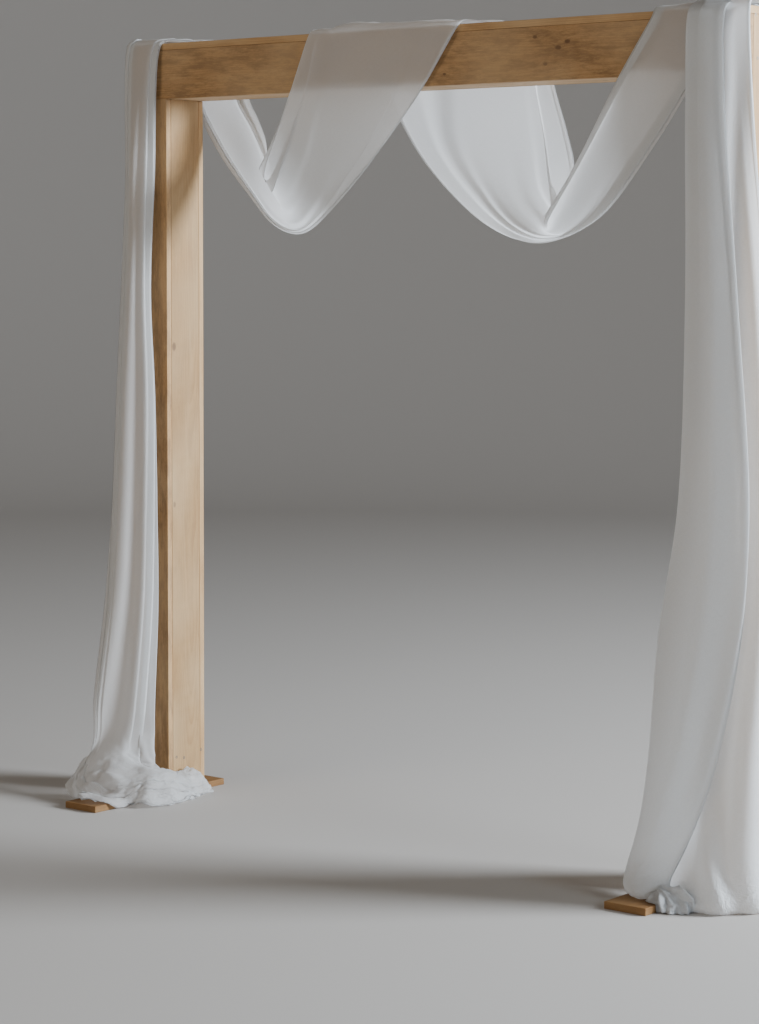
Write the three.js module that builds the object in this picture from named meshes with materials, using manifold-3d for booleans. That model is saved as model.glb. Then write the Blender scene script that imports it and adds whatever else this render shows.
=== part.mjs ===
// A free-standing timber arbor with a long muslin drape wound over its beam.
// Units are millimetres, +Z is up, and X runs along the beam. The origin lies on the floor,
// midway between the two posts and halfway along the boards that they stand on.
import * as THREE from "three";
import { mergeVertices } from "three/addons/utils/BufferGeometryUtils.js";
import Module from "manifold-3d";

const wasm = await Module();
wasm.setup();

// Driving dimensions
const board = 18; // thickness of every plank
const gap = 0.3; // space left between pieces that touch
const postSize = 148; // each post is a square box of planks
const outerWidth = 1994; // across the outer faces of the posts
const beamUnderside = 1937;
const beamFace = 132; // height of the beam's front and back planks
const footLength = 520;
const footWidth = 115;
const footOverhang = 18; // how far the foot board reaches inwards past the post's inner face
const postSetback = 123; // from the middle of the foot board back to the middle of the post
const clothThickness = 8; // stands for a few layers of gathered muslin
const swagThickness = 12;

const beamTop = beamUnderside + beamFace + board;
const postX = (outerWidth - postSize) / 2;
const face = postSize / 2; // from a box's middle to its outer faces
const between = postSize - 2 * board; // width of a plank held between two others
const footX = postX - face - footOverhang + footWidth / 2; // middle of a foot board

const softwood = new THREE.MeshStandardMaterial({ color: 0xc79a62, roughness: 0.75, metalness: 0 });
const muslin = new THREE.MeshStandardMaterial({ color: 0xe6e4e0, roughness: 0.9, metalness: 0 });

const arbor = new THREE.Group();
const frame = new THREE.Group(); // posts, beam and drape, centred on the posts
frame.position.y = postSetback;
arbor.add(frame);

function addMesh(group, name, geometry, material) {
  const mesh = new THREE.Mesh(geometry, material);
  mesh.name = name;
  group.add(mesh);
  return mesh;
}

// A plank given by its limits along X, Y and Z, drawn in by the gap where it meets others.
function addPlank(group, name, [x0, x1], [y0, y1], [z0, z1]) {
  const geometry = new THREE.BoxGeometry(x1 - x0, y1 - y0, z1 - z0);
  const mesh = addMesh(group, name, geometry, softwood);
  mesh.position.set((x0 + x1) / 2, (y0 + y1) / 2, (z0 + z1) / 2);
}

// Foot boards
for (const [side, way] of [["left", -1], ["right", 1]]) {
  const xs = [way * footX - footWidth / 2, way * footX + footWidth / 2];
  addPlank(arbor, `foot_board_${side}`, xs, [-footLength / 2, footLength / 2], [0, board]);
}

// Posts: front and back planks cover the edges of the two side planks
function addPost(side, way) {
  const centre = way * postX;
  const foot = board + gap;
  const head = beamUnderside - gap;
  const across = [centre - face, centre + face];
  addPlank(frame, `post_${side}_front_board`, across, [-face, -face + board], [foot, head]);
  addPlank(frame, `post_${side}_back_board`, across, [face - board, face], [foot, head]);
  const depth = [-between / 2 + gap, between / 2 - gap];
  const outerFace = centre + way * face;
  const innerFace = centre - way * face;
  const outer = [outerFace, outerFace - way * board].sort((a, b) => a - b);
  const inner = [innerFace, innerFace + way * board].sort((a, b) => a - b);
  addPlank(frame, `post_${side}_inner_board`, inner, depth, [foot, head]);
  addPlank(frame, `post_${side}_outer_board`, outer, depth, [foot, beamTop - board - gap]);
}
addPost("left", -1);
addPost("right", 1);

// Beam: a box of four planks on top of the posts
const reach = outerWidth / 2;
const faceZ = [beamUnderside, beamTop - board - gap];
const bottomX = reach - board - gap;
addPlank(frame, "beam_front_board", [-reach, reach], [-face, -face + board], faceZ);
addPlank(frame, "beam_back_board", [-reach, reach], [face - board, face], faceZ);
addPlank(frame, "beam_top_board", [-reach, reach], [-face, face], [beamTop - board, beamTop]);
addPlank(
  frame,
  "beam_bottom_board",
  [-bottomX, bottomX],
  [-between / 2 + gap, between / 2 - gap],
  [beamUnderside, beamUnderside + board],
);

// A surface through guide lines, each a list of points at matching stations
function loft(guides, rows, columns) {
  const lines = guides.map(
    (points) => new THREE.CatmullRomCurve3(points.map((p) => new THREE.Vector3(...p))),
  );
  const grid = [];
  for (let i = 0; i <= rows; i++) {
    const across = new THREE.CatmullRomCurve3(lines.map((line) => line.getPoint(i / rows)));
    const row = [];
    for (let j = 0; j <= columns; j++) row.push(across.getPoint(j / columns));
    grid.push(row);
  }
  return grid;
}

// The direction square to the surface at one point of a grid
function normalAt(grid, i, j) {
  const along = new THREE.Vector3().subVectors(
    grid[Math.min(i + 1, grid.length - 1)][j],
    grid[Math.max(i - 1, 0)][j],
  );
  const across = new THREE.Vector3().subVectors(
    grid[i][Math.min(j + 1, grid[i].length - 1)],
    grid[i][Math.max(j - 1, 0)],
  );
  return along.cross(across).normalize();
}

// The grid moved square to its surface by a distance
function shifted(grid, distance) {
  return grid.map((row, i) =>
    row.map((point, j) => point.clone().addScaledVector(normalAt(grid, i, j), distance)),
  );
}

// A closed solid between two grids of points
function closed(front, back) {
  const rows = front.length;
  const columns = front[0].length;
  const positions = [front, back].flat(2).flatMap((point) => point.toArray());
  const at = (side, i, j) => side * rows * columns + i * columns + j;
  const index = [];
  const quad = (a, b, c, d) => index.push(a, b, c, a, c, d);
  for (let i = 0; i < rows - 1; i++)
    for (let j = 0; j < columns - 1; j++) {
      quad(at(0, i, j), at(0, i + 1, j), at(0, i + 1, j + 1), at(0, i, j + 1));
      quad(at(1, i, j), at(1, i, j + 1), at(1, i + 1, j + 1), at(1, i + 1, j));
    }
  for (let i = 0; i < rows - 1; i++) {
    const last = columns - 1;
    quad(at(0, i, 0), at(1, i, 0), at(1, i + 1, 0), at(0, i + 1, 0));
    quad(at(0, i, last), at(0, i + 1, last), at(1, i + 1, last), at(1, i, last));
  }
  for (let j = 0; j < columns - 1; j++) {
    const last = rows - 1;
    quad(at(0, 0, j), at(0, 0, j + 1), at(1, 0, j + 1), at(1, 0, j));
    quad(at(0, last, j), at(1, last, j), at(1, last, j + 1), at(0, last, j + 1));
  }
  const geometry = new THREE.BufferGeometry();
  geometry.setAttribute("position", new THREE.Float32BufferAttribute(positions, 3));
  geometry.setIndex(index);
  geometry.computeVertexNormals();
  return geometry;
}

// One stretch of gathered cloth, a closed sheet of even thickness
function addDrape(name, guides, rows, columns, thickness) {
  const grid = loft(guides, rows, columns);
  const solid = closed(shifted(grid, thickness / 2), shifted(grid, -thickness / 2));
  addMesh(frame, name, solid, muslin);
}

// A hanging bundle of folds: bowed in front, and behind filled up by a share of the way to the
// straight line between its two edges
function addCurtain(name, guides, fill) {
  const rows = 24;
  const columns = 9;
  const grid = loft(guides, rows, columns);
  const behind = grid.map((row) =>
    row.map((point, j) => {
      const straight = new THREE.Vector3().lerpVectors(row[0], row.at(-1), j / columns);
      return point.clone().lerp(straight, fill);
    }),
  );
  const half = clothThickness / 2;
  addMesh(frame, name, closed(shifted(grid, half), shifted(behind, -half)), muslin);
}

// Swags: each starts behind the beam, passes under it and comes up in front.
// Stations: top and underside of the beam behind, three down the back, three up the front,
// underside and top of the beam in front.
const top = beamTop;
const under = beamUnderside;

const leftSwag = [
  // inner edge
  [
    [-720, 92, top], [-682, 92, under], [-655, 92, 1880], [-625, 88, 1825], [-590, 50, 1775],
    [-545, -30, 1745], [-490, -86, 1752], [-430, -92, 1840], [-390, -92, under], [-330, -88, top],
  ],
  // fold that catches the light
  [
    [-810, 92, top], [-765, 96, under], [-712, 98, 1845], [-645, 92, 1745], [-560, 50, 1665],
    [-460, -30, 1625], [-365, -96, 1660], [-303, -104, 1795], [-276, -102, under], [-262, -90, top],
  ],
  [
    [-895, 92, top], [-842, 92, under], [-762, 92, 1812], [-672, 92, 1700], [-570, 55, 1622],
    [-425, -20, 1590], [-290, -92, 1650], [-196, -92, 1792], [-118, -90, under], [-50, -88, top],
  ],
  // outer edge, the lowest
  [
    [-945, 92, top], [-890, 92, under], [-800, 92, 1790], [-690, 92, 1674], [-577, 60, 1596],
    [-425, 0, 1569], [-237, -92, 1631], [-90, -92, 1767], [57, -90, under], [160, -88, top],
  ],
];

const rightSwag = [
  [
    [300, 92, top], [338, 92, under], [375, 92, 1815], [398, 88, 1735], [410, 50, 1650],
    [412, -30, 1606], [432, -88, 1606], [500, -92, 1694], [641, -88, under], [734, -84, top],
  ],
  [
    [160, 92, top], [220, 96, under], [275, 98, 1805], [335, 90, 1700], [380, 50, 1618],
    [420, -35, 1580], [478, -96, 1600], [570, -102, 1730], [700, -92, under], [795, -84, top],
  ],
  [
    [-70, 92, top], [15, 92, under], [95, 92, 1785], [215, 82, 1660], [325, 40, 1582],
    [425, -40, 1561], [530, -92, 1592], [655, -95, 1745], [790, -88, under], [880, -84, top],
  ],
  [
    [-300, 92, top], [-205, 92, under], [-88, 92, 1763], [90, 75, 1617], [275, 10, 1554],
    [425, -50, 1547], [600, -90, 1604], [745, -92, 1763], [866, -88, under], [960, -84, top],
  ],
];

addDrape("drape_swag_left", leftSwag, 36, 12, swagThickness);
addDrape("drape_swag_right", rightSwag, 36, 12, swagThickness);

// Curtains: hanging lines from the left edge to the right one, from the beam's top to the floor
const leftCurtain = [
  [
    [-988, -86, top], [-990, -88, 1700], [-1000, -92, 1411], [-1012, -96, 1130],
    [-1035, -100, 800], [-1050, -108, 540], [-1072, -132, 250], [-1095, -160, 92],
  ],
  [
    [-945, -90, top], [-948, -108, 1700], [-948, -114, 1411], [-955, -122, 1130],
    [-962, -130, 800], [-968, -144, 540], [-985, -174, 250], [-1000, -205, 92],
  ],
  [
    [-900, -94, top], [-905, -118, 1700], [-902, -124, 1411], [-893, -128, 1130],
    [-892, -138, 800], [-890, -152, 540], [-900, -180, 250], [-905, -205, 92],
  ],
  [
    [-862, -88, top], [-872, -98, 1700], [-880, -105, 1411], [-866, -105, 1130],
    [-856, -108, 800], [-850, -112, 540], [-852, -125, 250], [-850, -140, 92],
  ],
];
addCurtain("drape_curtain_left", leftCurtain, 0.9);

const hem = 50; // the right curtain's folds end on the cloth gathered at its foot
const rightCurtainFront = [
  [
    [852, -113, top], [850, -115, 1870], [862, -122, 1400], [868, -142, 920],
    [845, -160, 620], [808, -182, 330], [776, -195, 121], [764, -208, hem],
  ],
  [
    [905, -116, top], [908, -128, 1870], [935, -140, 1400], [950, -165, 920],
    [925, -195, 620], [885, -222, 330], [850, -240, 121], [845, -256, hem],
  ],
  [
    [957, -113, top], [962, -118, 1870], [1012, -126, 1400], [1060, -140, 920],
    [1056, -165, 620], [1008, -205, 330], [955, -246, 121], [950, -268, hem],
  ],
];
addCurtain("drape_curtain_right_front", rightCurtainFront, 0.9);

const rightCurtainSide = [
  [
    [900, -98, top], [905, -98, 1870], [925, -100, 1400], [935, -108, 920],
    [930, -125, 620], [915, -150, 330], [905, -185, 121], [902, -205, hem],
  ],
  [
    [970, -98, top], [985, -100, 1870], [1040, -98, 1400], [1080, -112, 920],
    [1085, -140, 620], [1078, -185, 330], [1066, -225, 121], [1060, -245, hem],
  ],
  [
    [1006, -88, top], [1014, -80, 1870], [1045, -50, 1400], [1080, -25, 920],
    [1105, -25, 620], [1130, -35, 330], [1150, -48, 121], [1155, -52, hem],
  ],
];
addCurtain("drape_curtain_right_side", rightCurtainSide, 0.5);

// Cloth lying over the beam: guide lines run from the front edge to the back edge
const lift = top + gap + clothThickness / 2 + 1;
const ridge = 14; // height of the folds that stand up on the beam
function overBeam(front, back) {
  const steps = 4;
  return Array.from({ length: steps + 1 }, (_, k) => {
    const s = k / steps;
    const height = lift + ridge * Math.sin(Math.PI * 2 * s) ** 2;
    const from = THREE.MathUtils.lerp(front[0], front[1], s);
    const to = THREE.MathUtils.lerp(back[0], back[1], s);
    return [[from, front[2], lift], [(from + to) / 2, 0, height], [to, back[2], lift]];
  });
}
function addOverBeam(name, front, back, columns) {
  addDrape(name, overBeam(front, back), 8, columns, clothThickness);
}
addOverBeam("drape_over_beam_left", [-855, -995, -96], [-715, -950, 98], 12);
addOverBeam("drape_over_beam_middle", [165, -335, -96], [305, -305, 98], 16);
addOverBeam("drape_over_beam_right", [1008, 730, -119], [975, 740, 84], 12);

// Gathered cloth on the floor: a low mound swept along a path, blunt at its ends and a little
// lumpy along its top
function mound(path, halfWidth, height, sections) {
  const curve = new THREE.CatmullRomCurve3(path.map(([x, y]) => new THREE.Vector3(x, y, 0)));
  const arcs = 8;
  const bluntness = 0.4;
  const endShare = 0.08;
  const lumpHeight = 0.1;
  const lumpRate = 21;
  const positions = [];
  for (let i = 0; i <= sections; i++) {
    const t = i / sections;
    const centre = curve.getPointAt(t);
    const tangent = curve.getTangentAt(t);
    const round = Math.sin(Math.PI * (endShare + (1 - 2 * endShare) * t)) ** bluntness;
    const lump = 1 + lumpHeight * Math.sin(t * lumpRate);
    for (let k = 0; k <= arcs; k++) {
      const angle = (Math.PI * k) / arcs;
      const side = halfWidth * round * Math.cos(angle);
      const rise = height * round * lump * Math.sin(angle);
      positions.push(centre.x + tangent.y * side, centre.y - tangent.x * side, rise);
    }
  }
  const ring = arcs + 1;
  const index = [];
  for (let i = 0; i < sections; i++)
    for (let k = 0; k < ring; k++) {
      const next = (k + 1) % ring;
      const [a, b] = [i * ring + k, i * ring + next];
      const [c, d] = [b + ring, a + ring];
      index.push(a, c, b, a, d, c);
    }
  const last = sections * ring;
  for (let k = 1; k < arcs; k++) {
    index.push(0, k, k + 1);
    index.push(last, last + k + 1, last + k);
  }
  const geometry = new THREE.BufferGeometry();
  geometry.setAttribute("position", new THREE.Float32BufferAttribute(positions, 3));
  geometry.setIndex(index);
  return geometry;
}

// A closed mesh as a solid that can be cut, and back
function toSolid(geometry) {
  const bare = geometry.clone();
  bare.deleteAttribute("normal");
  bare.deleteAttribute("uv");
  const merged = mergeVertices(bare, 1e-3);
  const vertProperties = new Float32Array(merged.attributes.position.array);
  const triVerts = new Uint32Array(merged.index.array);
  return new wasm.Manifold(new wasm.Mesh({ numProp: 3, vertProperties, triVerts }));
}

function toGeometry(solid) {
  const { vertProperties, triVerts } = solid.getMesh();
  const geometry = new THREE.BufferGeometry();
  geometry.setAttribute("position", new THREE.BufferAttribute(new Float32Array(vertProperties), 3));
  geometry.setIndex(new THREE.BufferAttribute(new Uint32Array(triVerts), 1));
  geometry.computeVertexNormals();
  return geometry;
}

// The space that one post and its foot board take up, with the gap around it
function footSpace(way) {
  const foot = new THREE.BoxGeometry(footWidth + 2 * gap, footLength + 2 * gap, 2 * (board + gap));
  foot.translate(way * footX, -postSetback, 0);
  const postHeight = 400; // enough of the post to pass through the whole mound
  const post = new THREE.BoxGeometry(postSize + 2 * gap, postSize + 2 * gap, postHeight);
  post.translate(way * postX, 0, 0);
  return toSolid(foot).add(toSolid(post));
}

function addMound(name, way, path, halfWidth, height, sections) {
  const solid = toSolid(mound(path, halfWidth, height, sections)).subtract(footSpace(way));
  addMesh(frame, name, toGeometry(solid), muslin);
}

const leftMound = [
  [-1125, -95], [-1065, -195], [-960, -232], [-870, -225], [-812, -160], [-812, -70], [-838, 20],
];
addMound("drape_puddle_left", -1, leftMound, 62, 84, 30);
const rightMound = [[768, -195], [845, -258], [960, -285], [1065, -252], [1135, -160], [1152, -30]];
addMound("drape_puddle_right", 1, rightMound, 40, 40, 30);

export default arbor;
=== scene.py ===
# The looks of a free-standing timber arbor with a long muslin drape wound over its beam.
# Units are metres, +Z is up, X runs along the beam and Y from the front to the back.
import math

import bmesh
import bpy
import numpy as np
from mathutils import Matrix, Vector, noise


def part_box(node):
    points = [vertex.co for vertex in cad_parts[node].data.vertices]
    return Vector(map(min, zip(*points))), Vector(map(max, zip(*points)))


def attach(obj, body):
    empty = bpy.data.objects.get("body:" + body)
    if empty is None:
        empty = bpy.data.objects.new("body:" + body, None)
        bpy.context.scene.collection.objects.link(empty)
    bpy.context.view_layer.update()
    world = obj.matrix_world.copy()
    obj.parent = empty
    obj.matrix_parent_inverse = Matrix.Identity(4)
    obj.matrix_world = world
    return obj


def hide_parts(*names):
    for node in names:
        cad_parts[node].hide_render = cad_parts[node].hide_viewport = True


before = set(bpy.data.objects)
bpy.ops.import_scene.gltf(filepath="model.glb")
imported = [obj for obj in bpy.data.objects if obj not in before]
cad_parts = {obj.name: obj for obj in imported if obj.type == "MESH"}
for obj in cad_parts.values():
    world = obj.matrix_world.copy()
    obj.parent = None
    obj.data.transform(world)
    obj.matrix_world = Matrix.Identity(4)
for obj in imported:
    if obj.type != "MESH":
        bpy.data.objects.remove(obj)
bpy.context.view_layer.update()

noise.seed_set(5)  # without a seed noise_vector differs from run to run

# Camera: fitted to the arbor's straight edges
CAMERA_PLACE = (4.216, -5.296, 1.5)
CAMERA_HEADING = 38.87  # degrees, turned left from looking along +Y
CAMERA_PITCH = 5.44  # degrees down
CAMERA_ROLL = 0.217  # degrees
FOCAL_PIXELS = 2650
PHOTO_HEIGHT = 1024  # the long side of the photograph, in pixels
SENSOR = 36  # millimetres

# Sizes and places that several pieces share
MM = 0.001
POST_Y = (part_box("post_left_front_board")[0].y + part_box("post_left_back_board")[1].y) / 2
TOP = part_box("beam_top_board")[1].z
GAP = 0.0012  # between layers of cloth


def rgb(red, green, blue):
    return (red, green, blue, 1.0)


def smooth(x):
    """Rises softly from 0 to 1 while x does."""
    x = np.clip(x, 0, 1)
    return x * x * (3 - 2 * x)


def add_object(name, data):
    thing = bpy.data.objects.new(name, data)
    bpy.context.scene.collection.objects.link(thing)
    return thing


def add_attribute(mesh, name, values):
    """Gives each point of the mesh a number or a vector that its material reads."""
    values = np.asarray(values, np.float32)
    kind, key = ("FLOAT", "value") if values.ndim == 1 else ("FLOAT_VECTOR", "vector")
    attribute = mesh.attributes.new(name, kind, "POINT")
    attribute.data.foreach_set(key, values.ravel())


def bands(rings, sides, first=0):
    """Faces between rings of points, which are counted from first."""
    faces = []
    for ring in range(rings - 1):
        for side in range(sides):
            a = first + ring * sides + side
            b = first + ring * sides + (side + 1) % sides
            faces.append((a, b, b + sides, a + sides))
    return faces


# Camera, floor and light

def add_camera():
    data = bpy.data.cameras.new("camera")
    data.sensor_width = SENSOR
    data.lens = FOCAL_PIXELS / PHOTO_HEIGHT * SENSOR
    camera = add_object("camera", data)
    turn = Matrix.Rotation(math.radians(CAMERA_HEADING), 4, "Z")
    tip = Matrix.Rotation(math.radians(90 - CAMERA_PITCH), 4, "X")
    roll = Matrix.Rotation(math.radians(CAMERA_ROLL), 4, "Z")
    camera.matrix_world = Matrix.Translation(CAMERA_PLACE) @ turn @ tip @ roll
    bpy.context.scene.camera = camera


def add_light(name, place, aim, size, power, colour):
    data = bpy.data.lights.new(name, "AREA")
    data.shape = "DISK"
    data.size = size
    data.energy = power
    data.color = colour
    lamp = add_object(name, data)
    turn = (Vector(place) - Vector(aim)).to_track_quat("Z", "Y").to_matrix().to_4x4()
    lamp.matrix_world = Matrix.Translation(place) @ turn


def add_studio():
    """Cool daylight from the right, most of it from behind, and a weak warm light in front."""
    add_light("key", place=(6.0, 3.6, 3.2), aim=(0, 0, 1.1),
              size=2.6, power=1440, colour=(0.81, 0.90, 1.0))
    add_light("fill", place=(-2.0, -7.0, 3.0), aim=(0, 0, 1.0),
              size=5.0, power=112, colour=(1.0, 0.89, 0.74))
    add_light("side", place=(6.5, -0.5, 2.2), aim=(1, 0, 0.8),
              size=2.0, power=110, colour=(0.72, 0.86, 1.0))
    world = bpy.data.worlds.new("studio")
    world.use_nodes = True
    background = world.node_tree.nodes["Background"]
    background.inputs["Color"].default_value = rgb(0.72, 0.69, 0.65)
    background.inputs["Strength"].default_value = 0.22
    bpy.context.scene.world = world


def add_floor():
    """A pale round floor that curves up into a backdrop far from the arbor."""
    flat_radius, curve_radius = 9.0, 5.0
    steps, sides = 16, 96
    profile = [(0.0, 0.0)]
    for step in range(steps + 1):
        angle = math.pi / 2 * step / steps
        rise = curve_radius * (1 - math.cos(angle))
        profile.append((flat_radius + curve_radius * math.sin(angle), rise))
    points = []
    for radius, height in profile:
        for side in range(sides):
            turn = 2 * math.pi * side / sides
            points.append((radius * math.cos(turn), radius * math.sin(turn), height))
    # turned over, so that they face the arbor
    faces = [(a, d, c, b) for a, b, c, d in bands(len(profile), sides)]
    mesh = bpy.data.meshes.new("floor")
    mesh.from_pydata(points, [], faces)
    mesh.polygons.foreach_set("use_smooth", np.ones(len(faces), bool))
    floor = add_object("floor", mesh)
    material = bpy.data.materials.new("pale_floor")
    material.use_nodes = True
    shader = material.node_tree.nodes["Principled BSDF"]
    shader.inputs["Base Color"].default_value = rgb(0.50, 0.465, 0.43)
    shader.inputs["Roughness"].default_value = 0.8
    mesh.materials.append(material)


# Materials: a small helper that adds and links shader nodes

class Graph:
    def __init__(self, name):
        self.material = bpy.data.materials.new(name)
        self.material.use_nodes = True
        self.tree = self.material.node_tree
        self.shader = self.tree.nodes["Principled BSDF"]
        self.output = self.tree.nodes["Material Output"]

    def add(self, kind, settings=None, **inputs):
        node = self.tree.nodes.new("ShaderNode" + kind)
        for key, value in (settings or {}).items():
            setattr(node, key, value)
        for key, value in inputs.items():
            self.link(value, node.inputs[key.replace("_", " ")])
        return node

    def link(self, value, socket):
        if isinstance(value, bpy.types.NodeSocket):
            self.tree.links.new(value, socket)
        else:
            socket.default_value = value

    def math(self, operation, *values):
        node = self.add("Math", {"operation": operation})
        for value, socket in zip(values, node.inputs):
            self.link(value, socket)
        return node.outputs[0]

    def vector(self, operation, *values):
        node = self.add("VectorMath", {"operation": operation})
        for value, socket in zip(values, node.inputs):
            self.link(value, socket)
        return node.outputs["Value" if operation == "LENGTH" else "Vector"]

    def combine(self, x, y, z):
        return self.add("CombineXYZ", X=x, Y=y, Z=z).outputs[0]

    def attribute(self, name):
        return self.add("Attribute", {"attribute_name": name})

    def noise(self, vector, scale, detail=2.0, roughness=0.5, coloured=False):
        node = self.add("TexNoise", Vector=vector, Scale=scale, Detail=detail, Roughness=roughness)
        return node.outputs[1 if coloured else 0]

    def streaks(self, vector, scales, detail, roughness=0.5):
        """Noise that is scaled along each axis on its own."""
        return self.noise(self.vector("MULTIPLY", vector, scales), 1.0, detail, roughness)

    def between(self, value, low, high, to_low=0.0, to_high=1.0):
        """Maps value from low and high to to_low and to_high, and no further."""
        node = self.add("MapRange", {"clamp": True})
        for key, number in zip(("Value", "From Min", "From Max", "To Min", "To Max"),
                               (value, low, high, to_low, to_high)):
            self.link(number, node.inputs[key])
        return node.outputs[0]

    def mix(self, factor, a, b, blend="MIX"):
        node = self.add("Mix", {"data_type": "RGBA", "blend_type": blend})
        # a Mix node has sockets for numbers and vectors too: these are the colours' ones
        for value, socket in ((factor, 0), (a, 6), (b, 7)):
            self.link(value, node.inputs[socket])
        return node.outputs[2]

    def bump(self, height, distance, strength=1.0, normal=None):
        node = self.add("Bump", Height=height, Distance=distance, Strength=strength)
        if normal is not None:
            self.link(normal, node.inputs["Normal"])
        return node.outputs[0]


# Softwood: growth rings round a pith line that runs beside the plank, pushed aside by knots
RING = 0.0042  # mean width of a growth ring
EARLY_WOOD = rgb(0.58, 0.395, 0.215)
LATE_WOOD = rgb(0.39, 0.215, 0.09)
WARM_WOOD = rgb(0.50, 0.315, 0.155)
PALE_WOOD = rgb(0.68, 0.53, 0.36)
WORN_WOOD = rgb(0.70, 0.55, 0.37)
KNOT_WOOD = rgb(0.13, 0.06, 0.03)
STAIN = rgb(0.21, 0.125, 0.065)


def pith_distance(g, grain, slow, pith):
    """How far each point is from the pith, a wavering line beside the plank. pith holds its
    place across and through the plank, and how much it leans."""
    place_across, place_through, lean = pith
    drift = g.noise(slow, 1.0, 3.0, 0.55, coloured=True)
    drift = g.vector("SUBTRACT", drift, (0.5, 0.5, 0.5))
    drift = g.vector("MULTIPLY", drift, (0.0, 0.034, 0.034))
    moved = g.add("SeparateXYZ", Vector=g.vector("ADD", grain, drift))
    along, across, through = moved.outputs
    across = g.math("SUBTRACT", across, place_across)
    through = g.math("SUBTRACT", through, place_through)
    through = g.math("ADD", through, g.math("MULTIPLY", along, lean))
    return g.vector("LENGTH", g.combine(0.0, across, through))


def with_knots(g, grain, radius, knots):
    """The distance from the pith swollen round each knot, and where the knots' own wood is. A
    knot is its place along the plank, its place across it and its radius."""
    drawn_out = 0.62  # a knot's width as a share of its length
    edge = 1.15  # how far a knot reaches, as a share of its radius
    wood = 0.0
    plain = g.add("SeparateXYZ", Vector=grain)
    for place, beside, size in knots:
        along = g.math("MULTIPLY", g.math("SUBTRACT", plain.outputs[0], place), drawn_out)
        across = g.math("SUBTRACT", plain.outputs[1], beside)
        away = g.vector("LENGTH", g.combine(along, across, 0.0))
        away = g.math("ADD", away, g.math("MULTIPLY", g.noise(grain, 160.0, 2.0), size * 0.3))
        near = g.math("DIVIDE", away, size * edge)
        swell = g.math("EXPONENT", g.math("MULTIPLY", near, -1.1))
        radius = g.math("ADD", radius, g.math("MULTIPLY", swell, size * 2.6))
        wood = g.math("MAXIMUM", wood, g.between(away, size * 0.75, size * edge, 1.0, 0.0))
    return radius, wood


def late_wood(g, slow, radius):
    """How much of each point is the dark wood at the end of a growth ring."""
    rings = g.math("DIVIDE", radius, RING)
    rings = g.math("ADD", rings, g.math("MULTIPLY", g.noise(slow, 2.3, 2.0), 2.4))
    year = g.math("FRACT", rings)
    late = g.between(year, 0.35, 0.9)
    late = g.math("MULTIPLY", late, g.between(year, 0.92, 1.0, 1.0, 0.0))
    return g.math("MULTIPLY", late, g.between(g.noise(slow, 3.0, 2.0), 0.3, 0.75, 0.35, 1.0))


def softwood(name, pith, knots, tone, weathered):
    """Planed softwood. tone multiplies its colour and carries painted shade and light, and
    weathered says how stained it is.
    """
    g = Graph(name)
    grain = g.attribute("grain").outputs["Vector"]
    slow = g.vector("MULTIPLY", grain, (1.1, 5.0, 5.0))
    radius = pith_distance(g, grain, slow, pith)
    radius, knot_wood = with_knots(g, grain, radius, knots)
    late = late_wood(g, slow, radius)
    fibres = g.streaks(grain, (9.0, 900.0, 900.0), 3.0, 0.6)
    patches = g.streaks(grain, (3.5, 16.0, 16.0), 4.0, 0.6)
    blotches = g.streaks(grain, (12.0, 52.0, 52.0), 6.0, 0.72)
    specks = g.streaks(grain, (110.0, 330.0, 330.0), 2.0)
    wear = g.attribute("wear").outputs["Fac"]
    layers = (
        (g.between(fibres, 0.35, 0.75, 0.0, 0.5), LATE_WOOD),
        (g.between(patches, 0.38, 0.72, 0.0, 0.40), WARM_WOOD),
        (g.between(patches, 0.50, 0.25, 0.0, 0.28), PALE_WOOD),
        (g.between(blotches, 0.44, 0.62, 0.0, weathered * 0.7), STAIN),
        (g.between(specks, 0.58, 0.72, 0.0, weathered * 0.45), STAIN),
        (g.math("MULTIPLY", knot_wood, 0.9), KNOT_WOOD),
        (g.math("MULTIPLY", wear, 0.45), WORN_WOOD),
    )
    colour = g.mix(g.math("MULTIPLY", late, 0.9), EARLY_WOOD, LATE_WOOD)
    for share, layer in layers:
        colour = g.mix(share, colour, layer)
    # tone holds the painted shade and light of each board, with a small random variation
    colour = g.mix(1.0, colour, rgb(*tone), "MULTIPLY")
    g.link(colour, g.shader.inputs["Base Color"])
    g.link(g.between(late, 0.0, 1.0, 0.72, 0.58), g.shader.inputs["Roughness"])
    g.shader.inputs["Specular IOR Level"].default_value = 0.35
    relief = g.math("ADD", g.math("MULTIPLY", late, 0.5), g.math("MULTIPLY", fibres, 0.6))
    g.link(g.bump(relief, 0.00025, 0.8), g.shader.inputs["Normal"])
    return g.material


# Planks: boxes with eased, slightly uneven edges
EASED_EDGE = 0.0016  # radius of the worn edges
UNEVEN = 0.55  # how much that radius varies
STATION = 0.035  # length of a plank's faces
CORNER_STEPS = 4


def plank_section():
    """Points round a plank: the signs of the corner, the place on its rounding and its number."""
    section = []
    for corner, (sy, sz) in enumerate(((1, 1), (-1, 1), (-1, -1), (1, -1))):
        for step in range(CORNER_STEPS + 1):
            angle = math.pi / 2 * (corner + step / CORNER_STEPS)
            section.append((sy, sz, math.cos(angle), math.sin(angle), corner))
    return section


def plank_stations(length):
    """Places along a plank, and how far its sides are drawn in there: the ends are eased too."""
    half = length / 2
    stations = max(3, int(length / STATION))
    lead = EASED_EDGE * 0.8
    places = [-half, -half + lead * 0.3, -half + lead]
    places += list(np.linspace(-half, half, stations + 1)[1:-1])
    places += [half - lead, half - lead * 0.3, half]
    insets = [lead, lead * 0.3, 0.0] + [0.0] * (stations - 1) + [0.0, lead * 0.3, lead]
    return zip(places, insets)


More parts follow.
